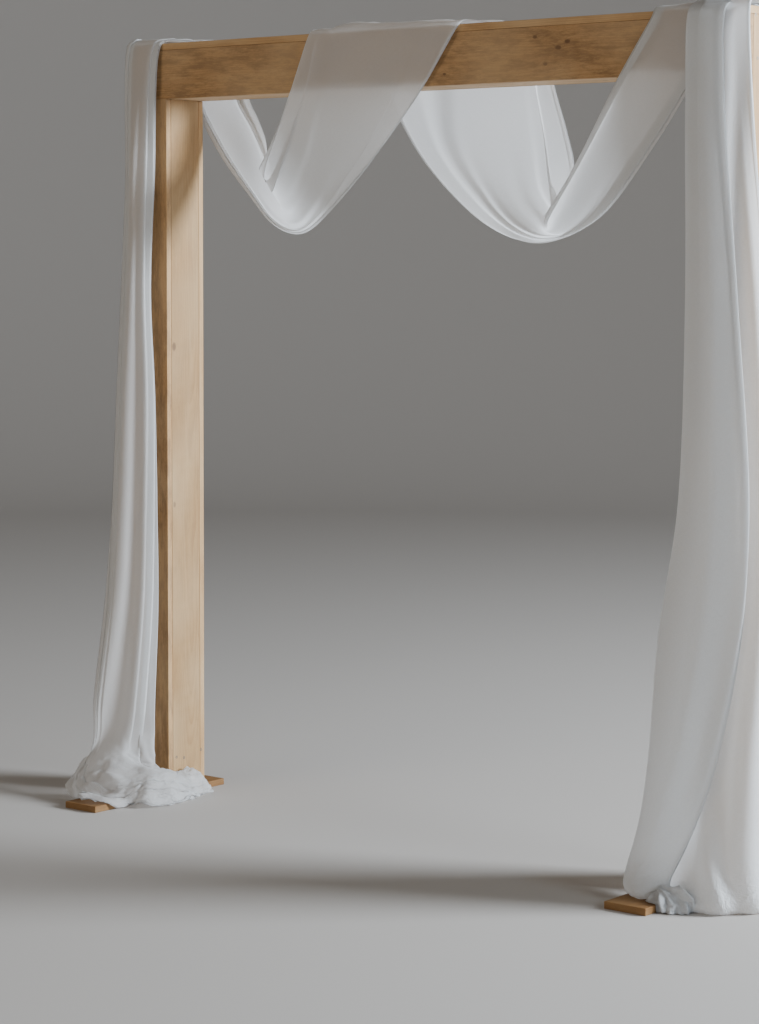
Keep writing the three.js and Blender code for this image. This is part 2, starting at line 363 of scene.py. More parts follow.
def plank(name, seed):
    low, high = (np.array(corner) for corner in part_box(name))
    size = high - low
    middle = (low + high) / 2
    half = size / 2
    order = np.argsort(-size)
    along, across, through = order
    section = plank_section()
    points, worn = [], []
    for place, inset in plank_stations(size[along]):
        # each plank and each corner has its own wear
        for sy, sz, cy, cz, corner in section:
            uneven = noise.noise((place * 7.0, corner * 3.1, seed * 1.7))
            radius = EASED_EDGE * (1.0 + UNEVEN * uneven)
            point = np.zeros(3)
            point[along] = place
            point[across] = sy * (half[across] - radius - inset) + radius * cy
            point[through] = sz * (half[through] - radius - inset) + radius * cz
            points.append(point)
            worn.append(max(0.0, 0.5 + uneven))
    points = np.array(points)
    count = len(section)
    faces = bands(len(points) // count, count)
    faces.append(tuple(range(count))[::-1])
    faces.append(tuple(range(len(points) - count, len(points))))
    mirrored = (across - along) % 3 != 1
    if mirrored:
        faces = [face[::-1] for face in faces]
    mesh = bpy.data.meshes.new(name + "_plank")
    mesh.from_pydata((points + middle).tolist(), [], faces)
    add_attribute(mesh, "grain", points[:, order])
    add_attribute(mesh, "wear", worn)
    piece = add_object(name + "_plank", mesh)
    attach(piece, "root")
    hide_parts(name)
    return piece


# Knots that show on a node: place along the plank, place across it and radius
KNOTS = {
    "beam_front_board": [(0.390, 0.041, 0.005), (0.487, 0.026, 0.006), (0.460, 0.012, 0.0065),
                         (0.422, -0.026, 0.005), (0.112, -0.038, 0.004)],
    "post_left_inner_board": [(0.28, -0.046, 0.009), (-0.16, -0.046, 0.006)],
}


def painted_shade_and_light_tone(name):
    """What a plank's colour is multiplied by: painted shade and light, chosen by the side that the
    board faces. The foot boards are darkest.
    """
    # painted shade: the foot boards are darkened to stand for the shade they lie in
    if name.startswith("foot"):
        return (0.46, 0.345, 0.215)
    # painted shade: boards that face the front are darker and warmer, for the side turned away from
    # the key light
    if "front" in name:
        return (0.90, 0.78, 0.63)
    # painted light: the beam's underside board is paled, for the light that bounces up on to it
    if name == "beam_bottom_board":
        return (1.12, 1.10, 1.10)
    # painted shade: the inner boards are darkened, to tone down the key light that falls on them
    if "inner" in name:
        return (0.79, 0.71, 0.58)
    return (0.97, 0.87, 0.73)


def drawn_knots(draw, length):
    """Knots in random places, one for each full 0.6 m of the plank and at least one."""
    return [
        (draw.uniform(-0.45, 0.45) * length, draw.uniform(-0.045, 0.045),
         draw.uniform(0.004, 0.010))
        for _ in range(max(1, int(length / 0.6)))
    ]


def add_planks():
    names = [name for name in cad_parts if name.endswith("_board") or name.startswith("foot")]
    for seed, name in enumerate(sorted(names)):
        piece = plank(name, seed)
        draw = np.random.default_rng(100 + seed)
        pith = (draw.uniform(-0.03, 0.03), draw.uniform(-0.07, -0.03), draw.uniform(-0.02, 0.02))
        shade = 1.0 + draw.uniform(-0.05, 0.05)
        # a random variation per board, times its painted shade and light
        tone = [shade * share for share in painted_shade_and_light_tone(name)]
        low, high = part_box(name)
        knots = KNOTS.get(name) or drawn_knots(draw, max(high - low))
        weathered = 1.0 if "front" in name else 0.3
        material = softwood("softwood_" + name, pith, knots, tone, weathered)
        piece.data.materials.append(material)


# Cloth surfaces: guide lines run along the cloth, and pleats are laid across them
CELL = 0.0105  # size of the cloth's mesh
CALM_ROWS = 6  # the cloth's end is crumpled less over these rows
HEM_COLUMNS = 2  # width of a hem, in columns of the cloth's mesh
LAYER = 0.003  # depth of one fold behind a gathered edge
PLEAT_FALL = 2.2  # length of a pleat's slope back, in widths
RIDGE_FALL = 0.7  # width of a ridge's steeper side, as a share of the other's
CRINKLED = 0.16  # the cloth's surface is crinkled below this height
LUMPS = ((0.085, 0.9), (0.042, 0.55), (0.020, 0.22))  # widths and strengths in crumpled cloth
PUFFED = 1.6  # how far the lumps stand out
PUSHED = 0.45  # how far they are pushed about
THICKNESS = 0.002  # space between the falling cloth and what it lands on
RUMPLE = 0.024  # how high the loose folds stand on the beam, at most
TOP_MM = 2087  # the beam's top and underside in millimetres, for the guide lines
UNDER_MM = 1937


def spline(points, t):
    """Centripetal Catmull-Rom curve through points (count, ..., 3) at parameters t from 0 to 1."""
    points = np.asarray(points, float)
    points = np.concatenate([[2 * points[0] - points[1]], points, [2 * points[-1] - points[-2]]])
    spans = len(points) - 3
    at = np.clip(np.asarray(t, float) * spans, 0, spans - 1e-9)
    i = at.astype(int)
    w = at - i
    x0, x1, x2, x3 = (points[i + k] for k in range(4))
    extra = (1,) * (x0.ndim - w.ndim)
    w = w.reshape(w.shape + extra)
    steps = [
        np.maximum(np.linalg.norm(b - a, axis=-1, keepdims=True), 1e-6) ** 0.5
        for a, b in ((x0, x1), (x1, x2), (x2, x3))
    ]
    d0, d1, d2 = steps
    m1 = ((x1 - x0) / d0 - (x2 - x0) / (d0 + d1) + (x2 - x1) / d1) * d1
    m2 = ((x2 - x1) / d1 - (x3 - x1) / (d1 + d2) + (x3 - x2) / d2) * d1
    c2 = -3 * x1 + 3 * x2 - 2 * m1 - m2
    c3 = 2 * x1 - 2 * x2 + m1 + m2
    return x1 + m1 * w + c2 * w**2 + c3 * w**3


def even_rows(guides):
    """Guides (lines, stations, 3) sampled at rows about one cell apart, with each row's station."""
    samples = 4000
    middle = guides.mean(0)
    fine = np.linspace(0, 1, samples)
    path = spline(middle, fine)
    run = np.concatenate([[0], np.cumsum(np.linalg.norm(np.diff(path, axis=0), axis=1))])
    rows = int(run[-1] / CELL)
    t = np.interp(np.linspace(0, run[-1], rows + 1), run, fine)
    lines = np.stack([spline(line, t) for line in guides])
    return lines, t * (guides.shape[1] - 1)


def turned_back(v, place, width):
    """1 over a width of the cloth and 0 beside it."""
    return np.exp(-(((v - place) / (width * 0.5)) ** 4))


def pleated(columns, pleats, ridges, tucks, tucked, station):
    """Where each column of the cloth lies across the guides, and how far it stands out. What
    varies along the cloth is a list of stations and values.
    A pleat is its place, the share of the cloth that runs back, its depth in metres and its
    strengths. A ridge is a soft fold, steeper beyond its top: its places, its width and its
    heights. A tuck is its place, its width and its side, -1 or 1: the cloth beyond it is folded
    behind the rest, as strongly as tucked says."""
    v = np.linspace(0, 1, columns)[None, :]
    heading = np.ones((len(station), columns))
    depth = np.zeros((len(station), columns))
    for place, width, deep, strengths in pleats:
        strength = np.interp(station, *zip(*strengths))[:, None]
        heading -= 2 * strength * turned_back(v, place, width)
        rise = smooth((v - place) / width + 0.5)
        fall = smooth((v - place - width * 0.5) / (width * PLEAT_FALL))
        depth += deep * strength * (rise - fall)
    strength = np.interp(station, *zip(*tucked))[:, None]
    for place, width, way in tucks:
        heading -= 2 * strength * turned_back(v, place, width)
        beyond = smooth((v - place) / width + 0.5)
        depth -= LAYER * strength * (beyond if way > 0 else 1 - beyond)
    for places, width, heights in ridges:
        height = np.interp(station, *zip(*heights))[:, None]
        place = np.interp(station, *zip(*places))[:, None]
        beside = (v - place) / width
        slope = np.where(beside < 0, smooth(1 + beside), smooth(1 - beside / RIDGE_FALL))
        depth += height * slope
    across = np.cumsum(heading, axis=1)
    across -= across.min(axis=1, keepdims=True)
    across /= across.max(axis=1, keepdims=True)
    return across, depth


def surface(lines, across, depth):
    """Points of the cloth and its normals: the curve across the guides of each row, moved out by
    depth."""
    def at(rows, places):
        return np.stack([
            spline(lines[:, row], np.clip(place, 0, 1)) for row, place in zip(rows, places)
        ])

    rows = np.arange(lines.shape[1])
    nudge = 0.02
    points = at(rows, across)
    sideways = at(rows, across + nudge) - at(rows, across - nudge)
    ahead = at(np.minimum(rows + 1, rows[-1]), across) - at(np.maximum(rows - 1, 0), across)
    normal = square_to(ahead, sideways)
    return points + normal * depth[..., None], normal


def square_to(ahead, sideways):
    """Unit vectors square to both."""
    normal = np.cross(ahead, sideways)
    return normal / np.maximum(np.linalg.norm(normal, axis=-1, keepdims=True), 1e-9)


def hemmed(grid):
    """The grid with its two long edges folded over behind it, as narrow hems."""
    normal = square_to(np.gradient(grid, axis=0), np.gradient(grid, axis=1))
    behind = grid - normal * GAP
    first = behind[:, HEM_COLUMNS:0:-1]
    last = behind[:, -2:-2 - HEM_COLUMNS:-1]
    return np.concatenate([first, grid, last], axis=1)


def calmed(grid, amount, passes):
    """The grid with its sharpest creases smoothed where amount, from 0 to 1, says so."""
    for _ in range(passes):
        wide = np.pad(grid, ((1, 1), (1, 1), (0, 0)), mode="edge")
        near = (wide[:-2, 1:-1] + wide[2:, 1:-1] + wide[1:-1, :-2] + wide[1:-1, 2:]) / 4
        grid = grid + (near - grid) * amount[..., None] * 0.5
    return grid


def grid_mesh(name, grid):
    rows, columns = grid.shape[:2]
    index = np.arange(rows * columns).reshape(rows, columns)
    quads = np.stack([index[:-1, :-1], index[:-1, 1:], index[1:, 1:], index[1:, :-1]], -1)
    mesh = bpy.data.meshes.new(name)
    mesh.from_pydata(grid.reshape(-1, 3).tolist(), [], quads.reshape(-1, 4).tolist())
    mesh.polygons.foreach_set("use_smooth", np.ones(len(mesh.polygons), bool))
    return mesh


def hard(thing):
    """Makes the falling cloth rest on a thing."""
    thing.modifiers.new("hit", "COLLISION")
    thing.collision.thickness_outer = THICKNESS
    thing.collision.cloth_friction = 12
    return thing


def block(name, low, high):
    """A plain box that the cloth falls on while it is simulated."""
    (x0, y0, z0), (x1, y1, z1) = low, high
    points = [(x, y, z) for x in (x0, x1) for y in (y0, y1) for z in (z0, z1)]
    faces = [(0, 1, 3, 2), (4, 6, 7, 5), (0, 4, 5, 1), (2, 3, 7, 6), (0, 2, 6, 4), (1, 5, 7, 3)]
    mesh = bpy.data.meshes.new(name)
    mesh.from_pydata(points, [], faces)
    return hard(add_object(name, mesh))


def fallen(grid, pinned, lift, frames):
    """The grid after it has dropped by lift on to the floor, in so many frames. pinned holds how
    firmly each point is held."""
    scene = bpy.context.scene
    cloth = add_object("falling", grid_mesh("falling", grid + (0, 0, lift)))
    group = cloth.vertex_groups.new(name="held")
    flat = pinned.ravel()
    for i in np.nonzero(flat > 0)[0]:
        group.add([int(i)], float(flat[i]), "REPLACE")
    cloth.shape_key_add(name="up")
    down = cloth.shape_key_add(name="down")
    down.data.foreach_set("co", grid.reshape(-1).astype(np.float32))
    modifier = cloth.modifiers.new("cloth", "CLOTH")
    settings = modifier.settings
    settings.quality = 6
    settings.mass = 0.1
    settings.tension_stiffness = settings.compression_stiffness = 25
    settings.shear_stiffness = 6
    settings.bending_stiffness = 0.08
    settings.tension_damping = settings.compression_damping = 4
    settings.bending_damping = 0.4
    settings.air_damping = 1.0
    settings.vertex_group_mass = "held"
    modifier.collision_settings.collision_quality = 2
    modifier.collision_settings.distance_min = THICKNESS
    modifier.point_cache.frame_start = 1
    modifier.point_cache.frame_end = frames
    # the points that are held come down by lift in the first half of the frames
    for value, key_frame in ((0.0, 1), (0.0, 2), (1.0, int(frames * 0.5))):
        down.value = value
        down.keyframe_insert("value", frame=key_frame)
    for frame_number in range(1, frames + 1):
        scene.frame_set(frame_number)
    shape = cloth.evaluated_get(bpy.context.evaluated_depsgraph_get())
    settled = np.empty(grid.size, np.float32)
    shape.data.vertices.foreach_get("co", settled)
    scene.frame_set(1)
    bpy.data.objects.remove(cloth)
    return settled.reshape(grid.shape).astype(float)


def crumpled(grid, normal, amount, scale=1.0, drift=0.0015):
    """The grid puffed out along its normals into rounded lumps with sharp creases between
    them, by up to amount metres, and pushed about a little. The lumps are up to 85 mm wide
    where scale is 1. drift moves the pattern a little from column to column."""
    moved = grid.copy()
    for row, column in zip(*np.nonzero(amount > 0)):
        # the shift by column keeps layers that lie together from moving alike
        place = Vector(grid[row, column]) / scale + Vector((0, 0, column * drift))
        puff = 0.0
        push = np.zeros(3)
        for size, share in LUMPS:
            puff += share * abs(noise.noise(place / size + Vector((0, 0, size * 99))))
            push += share * np.array(noise.noise_vector(place / size))
        shift = normal[row, column] * puff * PUFFED + push * PUSHED
        moved[row, column] += shift * amount[row, column]
    return moved


def cloth_object(name, grid, material):
    rows, columns = grid.shape[:2]
    mesh = grid_mesh(name, grid)
    along = np.arange(rows)[:, None] * CELL + np.zeros((1, columns))
    beside = np.arange(columns)[None, :] * CELL + np.zeros((rows, 1))
    thread = np.stack([beside, along, np.zeros_like(along)], -1)
    add_attribute(mesh, "thread", thread.reshape(-1, 3))
    add_attribute(mesh, "loose", (1 - smooth(grid[..., 2] / CRINKLED)).ravel())
    mesh.materials.append(material)
    piece = add_object(name, mesh)
    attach(piece, "root")
    return piece


# Muslin: thin, matt and slightly sheer, with the light glowing through it

def muslin(name, cover, tint, sheer):
    """Muslin. cover is how opaque its weave is, tint multiplies its colour, and sheer is the
    share of the light that comes through from behind."""
    g = Graph(name)
    thread = g.attribute("thread").outputs["Vector"]
    weft = g.streaks(thread, (90.0, 1400.0, 1.0), 1.0)
    warp = g.streaks(thread, (1400.0, 90.0, 1.0), 1.0)
    weave = g.math("ADD", weft, warp)
    creases = g.noise(thread, 14.0, 3.0, 0.55)
    wrinkles = g.math("ABSOLUTE", g.math("SUBTRACT", g.noise(thread, 34.0, 3.0, 0.6), 0.5))
    wrinkles = g.math("MULTIPLY", wrinkles, g.attribute("loose").outputs["Fac"])
    bump = g.bump(weave, 0.00012, 0.5)
    bump = g.bump(creases, 0.0022, 0.5, bump)
    bump = g.bump(wrinkles, 0.014, 1.0, bump)
    g.link(bump, g.shader.inputs["Normal"])
    slubs = g.between(weave, 0.8, 1.25)
    colour = g.mix(slubs, rgb(0.80, 0.80, 0.79), rgb(0.90, 0.90, 0.895))
    colour = g.mix(1.0, colour, rgb(*tint), "MULTIPLY")
    g.link(colour, g.shader.inputs["Base Color"])
    g.shader.inputs["Roughness"].default_value = 0.85
    g.shader.inputs["Specular IOR Level"].default_value = 0.2
    g.shader.inputs["Sheen Weight"].default_value = 0.25
    g.shader.inputs["Alpha"].default_value = cover
    glow = g.add("BsdfTranslucent", Color=rgb(*(0.90 * share for share in tint)))
    blend = g.add("MixShader")
    blend.inputs[0].default_value = sheer
    g.link(g.shader.outputs[0], blend.inputs[1])
    g.link(glow.outputs[0], blend.inputs[2])
    g.link(blend.outputs[0], g.output.inputs["Surface"])
    return g.material


# Long cloth: guide lines in millimetres, Y from the posts' middle. The tail is gathered round
# the left post's foot: it runs from the hem beside the post, round its front corner, to where
# the cloth rises into the curtain
LEFT_TAIL = [
    [(-842, 42, 70), (-840, -16, 88), (-838, -76, 92), (-850, -108, 88), (-868, -116, 96),
     (-872, -112, 120), (-862, -114, 180)],
    [(-832, 46, 74), (-815, -26, 104), (-808, -100, 108), (-832, -165, 104), (-880, -200, 100),
     (-920, -190, 116), (-910, -182, 180)],
    [(-820, 44, 46), (-785, -30, 72), (-768, -115, 78), (-800, -206, 72), (-880, -280, 70),
     (-965, -250, 78), (-975, -200, 160)],
    [(-826, 34, 8), (-775, -38, 5), (-734, -130, 5), (-778, -275, 5), (-866, -398, 24),
     (-1016, -318, 9), (-1036, -190, 100)],
]

LEFT_CURTAIN = [
    [(-852, -125, 250), (-850, -112, 540), (-856, -108, 800),
     (-866, -105, 1130), (-880, -105, 1411), (-872, -98, 1700), (-862, -84, 2079)],
    [(-900, -180, 250), (-890, -152, 540), (-892, -138, 800),
     (-893, -128, 1130), (-902, -124, 1411), (-905, -118, 1700), (-900, -86, 2079)],
    [(-980, -180, 250), (-965, -144, 540), (-962, -130, 800),
     (-955, -122, 1130), (-948, -114, 1411), (-948, -108, 1700), (-945, -84, 2079)],
    [(-1062, -160, 250), (-1060, -114, 540), (-1045, -100, 800),
     (-1022, -96, 1130), (-1006, -92, 1411), (-990, -88, 1700), (-988, -82, 2079)],
]

# The swags run from the beam's back edge, down and forward under the beam, to its front edge
LEFT_SWAG = [
    [(-720, 82, 2079), (-682, 84, UNDER_MM), (-655, 92, 1880), (-625, 88, 1825), (-590, 50, 1775),
     (-545, -30, 1745), (-490, -86, 1752), (-430, -92, 1840), (-390, -84, UNDER_MM),
     (-330, -82, 2079)],
    [(-810, 82, 2079), (-765, 84, UNDER_MM), (-712, 98, 1845), (-645, 92, 1745), (-560, 50, 1665),
     (-460, -30, 1625), (-365, -96, 1660), (-303, -104, 1795), (-276, -88, UNDER_MM),
     (-262, -82, 2079)],
    [(-895, 82, 2079), (-842, 84, UNDER_MM), (-762, 92, 1812), (-672, 92, 1700), (-570, 55, 1622),
     (-425, -20, 1590), (-290, -92, 1650), (-196, -92, 1792), (-118, -84, UNDER_MM),
     (-50, -82, 2079)],
    [(-945, 82, 2079), (-890, 84, UNDER_MM), (-800, 92, 1790), (-690, 92, 1674), (-577, 60, 1596),
     (-425, 0, 1569), (-237, -92, 1631), (-90, -92, 1767), (57, -84, UNDER_MM),
     (160, -82, 2079)],
]

RIGHT_SWAG = [
    [(-300, 82, 2079), (-205, 84, UNDER_MM), (-88, 92, 1763), (90, 75, 1617), (275, 10, 1554),
     (425, -50, 1547), (600, -90, 1604), (745, -92, 1763), (866, -84, UNDER_MM),
     (960, -82, 2079)],
    [(-45, 82, 2079), (-15, 84, UNDER_MM), (2, 92, 1800), (112, 86, 1662), (262, 42, 1580),
     (415, -35, 1560), (530, -92, 1592), (655, -95, 1745), (790, -84, UNDER_MM),
     (880, -82, 2079)],
    [(225, 82, 2079), (235, 84, UNDER_MM), (243, 95, 1805), (262, 94, 1672), (322, 58, 1606),
     (405, -32, 1578), (478, -96, 1600), (570, -102, 1730), (700, -86, UNDER_MM),
     (795, -82, 2079)],
    [(300, 82, 2079), (338, 84, UNDER_MM), (375, 92, 1815), (398, 88, 1735), (410, 50, 1650),
     (412, -30, 1606), (432, -88, 1606), (500, -92, 1694), (641, -84, UNDER_MM),
     (734, -82, 2079)],
]


def over_beam(front, back):
    """Stations across the top of the beam, between a line's points in front and behind."""
    return [(front[0] + (back[0] - front[0]) * share, y, TOP_MM + rise)
            for share, y, rise in ((0.06, -72, 7), (0.5, 0, 4), (0.94, 72, 7))]


def in_metres(lines):
    return (np.array(lines, float) + (0, POST_Y / MM, 0)) * MM


def long_cloth_lines():
    lines = []
    for tail, curtain, left, right in zip(LEFT_TAIL, LEFT_CURTAIN, LEFT_SWAG, RIGHT_SWAG):
        end = (right[-1][0] - 15, 82, 2079)
        line = tail + curtain + over_beam(curtain[-1], left[0]) + left
        line += over_beam(left[-1], right[0]) + right + over_beam(right[-1], end)
        lines.append(line)
    return in_metres(lines)


# Stations along the long cloth
HEM = 0
FOOT = 7  # where the left curtain starts
TOP_LEFT = 13
LOW_LEFT = 22
TOP_MIDDLE = 26
BEHIND_MIDDLE = 30
LOW_RIGHT = 35
TOP_RIGHT = 39
LONG_COLUMNS = 69  # of the cloth's mesh
LONG_TUCKS = [(0.045, 0.09, -1), (0.215, 0.09, -1), (0.785, 0.09, 1), (0.955, 0.09, 1)]
LONG_TUCKED = [(HEM, 0.3), (FOOT, 0.75), (FOOT + 3, 1.0), (TOP_LEFT, 1.0), (LOW_LEFT, 0.85),
               (TOP_MIDDLE - 1, 0.45), (TOP_MIDDLE + 1, 0.15), (BEHIND_MIDDLE, 0.0),
               (LOW_RIGHT - 2, 0.2), (LOW_RIGHT, 0.95), (TOP_RIGHT, 0.95)]
LONG_PLEATS = [
    (0.36, 0.10, 0.008, [(HEM, 0.5), (FOOT, 0.45), (FOOT + 3, 0.4), (TOP_LEFT, 0.5),
                         (LOW_LEFT, 0.3), (TOP_MIDDLE, 0.0), (BEHIND_MIDDLE, 0.0),
                         (LOW_RIGHT, 0.4), (TOP_RIGHT, 0.15)]),
    (0.66, 0.09, 0.008, [(HEM, 0.5), (FOOT, 0.45), (FOOT + 3, 0.5), (TOP_LEFT, 0.6),
                         (LOW_LEFT, 0.35), (TOP_MIDDLE, 0.0), (BEHIND_MIDDLE, 0.0),
                         (LOW_RIGHT, 0.5), (TOP_RIGHT, 0.2)]),
    (0.80, 0.07, 0.006, [(TOP_MIDDLE + 1, 0.0), (BEHIND_MIDDLE, 0.6), (LOW_RIGHT - 2, 0.5),
                         (LOW_RIGHT, 0.0)]),
]
LONG_RIDGES = [
    ([(0, 0.33)], 0.12, [(LOW_LEFT, 0.0), (LOW_LEFT + 1, 0.010), (TOP_MIDDLE - 2, 0.016),
                         (TOP_MIDDLE - 1, 0.004), (TOP_MIDDLE, 0.0)]),
    *[([(0, place)], 0.06, [(LOW_LEFT - 2, 0.0), (LOW_LEFT, 0.006), (LOW_LEFT + 2, 0.0)])
      for place in (0.42, 0.56, 0.74)],
    *[([(0, place)], 0.06, [(LOW_RIGHT - 3, 0.0), (LOW_RIGHT, 0.006), (LOW_RIGHT + 2, 0.0)])
      for place in (0.40, 0.54, 0.70)],
    # the cloth has turned over here, so a height below zero stands up
    ([(0, 0.42)], 0.16, [(TOP_MIDDLE, 0.0), (TOP_MIDDLE + 1, -0.010), (TOP_MIDDLE + 3, -0.012),
                         (BEHIND_MIDDLE, 0.0)]),
    ([(0, 0.28)], 0.12, [(BEHIND_MIDDLE, 0.0), (BEHIND_MIDDLE + 1, 0.007), (LOW_RIGHT, 0.004),
                         (LOW_RIGHT + 1, 0.0)]),
    ([(0, 0.55)], 0.16, [(LOW_RIGHT, 0.0), (LOW_RIGHT + 1, 0.012), (TOP_RIGHT - 1, 0.010),
                         (TOP_RIGHT, 0.0)]),
]


def mound(node):
    """The gathered cloth's own solid, which stands for the layers underneath."""
    return hard(add_object("core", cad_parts[node].data.copy()))


def add_obstacles():
    high_enough = 1  # the loose end of the cloth lies well below this
    things = [block("floor_block", (-2, -1, -0.2), (2, 1, 0))]
    for side in ("left", "right"):
        things.append(block("foot_block", *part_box("foot_board_" + side)))
        low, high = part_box(f"post_{side}_front_board")
        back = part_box(f"post_{side}_back_board")[1].y
        things.append(block("post_block", low, (high.x, back, high_enough)))
    return [*things, mound("drape_puddle_left")]


def kept_above(grid, side):
    """The grid lifted where it would reach into the floor or a foot board."""
    low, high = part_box("foot_board_" + side)
    x, y = grid[..., 0], grid[..., 1]
    over = (x > low.x - GAP) & (x < high.x + GAP) & (y > low.y - GAP) & (y < high.y + GAP)
    lift = GAP * (1 + np.arange(grid.shape[1]) / grid.shape[1])
    grid[..., 2] = np.maximum(grid[..., 2], np.where(over, high.z, 0) + lift)
    return grid


def foot_rows(grid, held_height):
    """How many rows of a hanging cloth lie below held_height, with a few to spare."""
    spare = 4
    return int(np.argmax(grid[:, :, 2].mean(1) > held_height)) + spare


def loosened(part, normal, held_height, crumple, bunch):
    """The lowest rows of a hanging cloth crumpled, and how loose each of their points is. At
    bunch, a place and a size, the cloth is gathered most."""
    loose = 1 - smooth(part[:, :, 2] / (held_height * 0.8))
    place, size = bunch
    away = np.linalg.norm(part - np.array(place), axis=-1) / size
    from_hem = smooth(np.arange(len(part)) / CALM_ROWS)[:, None]
    strength = loose * (0.4 + 0.6 * np.exp(-away**2)) * (0.3 + 0.7 * from_hem)
    return crumpled(part, normal, crumple * strength), loose


def drop_foot(grid, normal, held_height, crumple, bunch, lift, frames):
    """Crumples the lowest rows of a hanging cloth, which come first, and lets them fall into
    folds on the floor. Above held_height the cloth is held."""
    fine_share, fine_scale = 0.13, 0.55  # finer lumps, after the fall
    rows = foot_rows(grid, held_height)
    height = grid[:rows, :, 2]
    pinned = smooth((height - held_height * 0.5) / (held_height * 0.5))
    pinned[-3:] = 1.0  # the highest rows join the rest of the cloth
    part, loose = loosened(grid[:rows], normal[:rows], held_height, crumple, bunch)
    part = fallen(part, pinned, lift, frames)
    turned = square_to(np.gradient(part, axis=0), np.gradient(part, axis=1))
    part = crumpled(part, turned, crumple * loose * fine_share, fine_scale)
    between = 4 * pinned * (1 - pinned)
    grid[:rows] = calmed(part, np.maximum(loose * 0.6, between), passes=2)
    return grid


def rumpled(grid):
    """Lifts the cloth into loose folds where it lies on the beam, least at the beam's edges and
    at the cloth's."""
    half_beam = 0.074
    for row, column in zip(*np.nonzero(grid[:, :, 2] > TOP)):
        x, y = grid[row, column, :2]
        fold = abs(noise.noise((x * 5, y * 22, 0.4))) + 0.25 * abs(noise.noise((x * 14, y * 40, 5)))
        edge = 1 - abs((y - POST_Y) / half_beam) ** 4
        share = column / (grid.shape[1] - 1)
        inside = min(1.0, share * 6, (1 - share) * 2.2)
        grid[row, column, 2] += RUMPLE * fold * inside * max(0.0, edge)
    return grid


def add_long_cloth(material):
    lines, station = even_rows(long_cloth_lines())
    across, depth = pleated(
        LONG_COLUMNS, LONG_PLEATS, LONG_RIDGES, LONG_TUCKS, LONG_TUCKED, station)
    grid, normal = surface(lines, across, depth)
    grid = drop_foot(grid, normal, held_height=0.25, crumple=0.040,
                     bunch=((-0.89, -0.02, 0.05), 0.26), lift=0.015, frames=24)
    grid = kept_above(grid, "left")
    piece = cloth_object("drape_long_cloth", hemmed(rumpled(grid)), material)
    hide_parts("drape_curtain_left", "drape_over_beam_left", "drape_swag_left",
                "drape_over_beam_middle", "drape_swag_right", "drape_over_beam_right",
                "drape_puddle_left")
    return piece


# Right curtain: one cloth folded in two layers, from the hem that shows in front, round the
# fold at the left, to the hem that flares out at the right. Its guide lines run down from the
# beam, and its stations count from the hem up to the top of the beam
RIGHT_CURTAIN = [
    [(957, -113, 2079), (962, -118, 1870), (1012, -126, 1400), (1060, -140, 920),
     (1056, -165, 620), (1018, -205, 330), (978, -222, 190), (948, -250, 95), (941, -268, 60),
     (952, -282, 42), (966, -288, 28)],
    [(905, -116, 2079), (908, -128, 1870), (935, -140, 1400), (950, -165, 920),
     (935, -190, 620), (905, -216, 330), (878, -238, 190), (860, -266, 95), (856, -298, 50),
     (872, -320, 25), (905, -322, 21)],
    [(852, -111, 2079), (850, -115, 1870), (862, -122, 1400), (862, -142, 920),
     (826, -160, 620), (814, -178, 330), (798, -183, 190), (782, -196, 95), (783, -220, 47),
     (803, -250, 25), (848, -284, 21)],
    [(868, -98, 2079), (866, -98, 1870), (880, -102, 1400), (880, -118, 920),
     (848, -134, 620), (836, -150, 330), (821, -154, 190), (806, -168, 95), (804, -190, 50),
     (824, -220, 26), (860, -245, 21)],
    [(900, -92, 2079), (905, -94, 1870), (925, -98, 1400), (935, -108, 920),
     (935, -125, 620), (945, -142, 330), (966, -176, 190), (986, -232, 95), (998, -274, 45),
     (1004, -302, 9), (990, -284, 3)],
    [(970, -90, 2079), (985, -96, 1870), (1040, -98, 1400), (1080, -112, 920),
     (1085, -140, 620), (1078, -185, 330), (1074, -206, 190), (1078, -230, 95), (1084, -244, 45),
     (1090, -252, 9), (1078, -234, 3)],
    [(1006, -86, 2079), (1014, -80, 1870), (1045, -50, 1400), (1080, -25, 920),
     (1105, -25, 620), (1130, -40, 330), (1144, -72, 190), (1155, -112, 95), (1160, -140, 45),
     (1164, -160, 9), (1152, -148, 3)],
]
RIGHT_COLUMNS = 73  # of the cloth's mesh
RIGHT_TUCKS = [(0.045, 0.09, -1)]
RIGHT_TUCKED = [(0, 0.0), (3, 0.2), (6, 0.5), (9, 0.9), (12, 0.9)]
RIGHT_PLEATS = [
    (0.26, 0.07, -0.006, [(0, 0.1), (6, 0.2), (9, 0.5), (12, 0.8)]),
    (0.62, 0.08, -0.010, [(0, 0.3), (6, 0.4), (9, 0.8), (12, 0.9)]),
    (0.80, 0.08, -0.006, [(0, 0.0), (6, 0.2), (9, 0.5), (12, 0.8)]),
]
RIGHT_RIDGES = [
    ([(0, 0.18)], 0.06, [(3, 0.0), (5, 0.014), (7, 0.012), (9, 0.0)]),
    ([(0, 0.08)], 0.05, [(4, 0.0), (6, 0.007), (8, 0.006), (10, 0.0)]),
    ([(0, 0.83), (2, 0.80), (4, 0.74), (6, 0.71)], 0.10,
     [(0, -0.020), (2, -0.026), (4, -0.024), (5, -0.016), (7, -0.006), (10, 0.0)]),
    ([(0, 0.94), (3, 0.90), (6, 0.87)], 0.07, [(0, -0.020), (3, -0.022), (6, -0.010), (10, 0.0)]),
]


def right_curtain_lines():
    lines = []
    for line in RIGHT_CURTAIN:
        over = [(line[0][0] - inward, y, TOP_MM + rise)
                for inward, y, rise in ((6, -68, 12), (14, -10, 15), (20, 60, 11))]
        lines.append(line[::-1] + over)
    return in_metres(lines)


